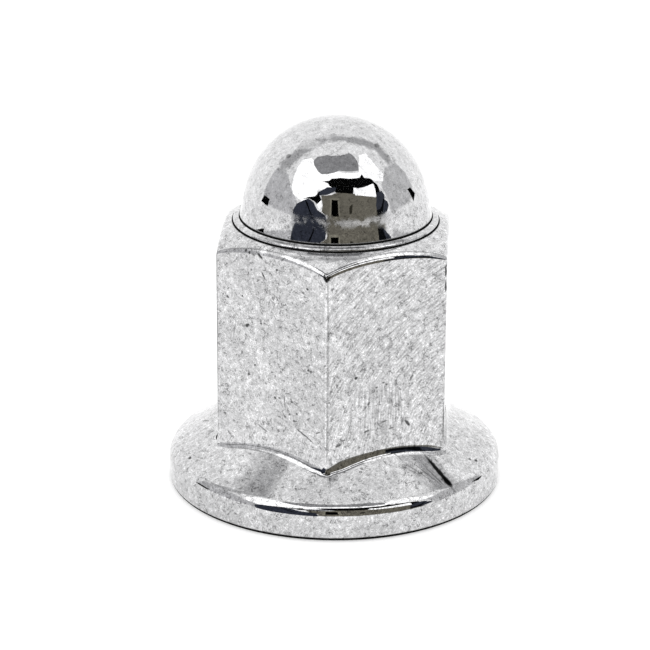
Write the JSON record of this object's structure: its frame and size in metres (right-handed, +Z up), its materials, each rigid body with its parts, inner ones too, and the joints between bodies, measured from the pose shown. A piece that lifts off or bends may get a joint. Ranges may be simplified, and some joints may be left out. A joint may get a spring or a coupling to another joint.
{
  "type": "cap nut",
  "caption": "Flanged cap nut: a hexagon for a wrench, a closed dome over a blind threaded hole, and a wide round flange under it.",
  "frame": {"origin": "middle of the flat bearing face under the flange", "axes": "+Z up along the thread axis through the top of the dome; one corner of the hexagon faces -Y and two flats face +X and -X"},
  "size_m": [0.0178, 0.0178, 0.0201],
  "materials": {
    "chrome_plate": "bright chrome plate over steel, smudged, lightly pitted and scratched"
  },
  "bodies": {
    "root": {"cap_nut": "chrome_plate"}
  },
  "joints": []
}
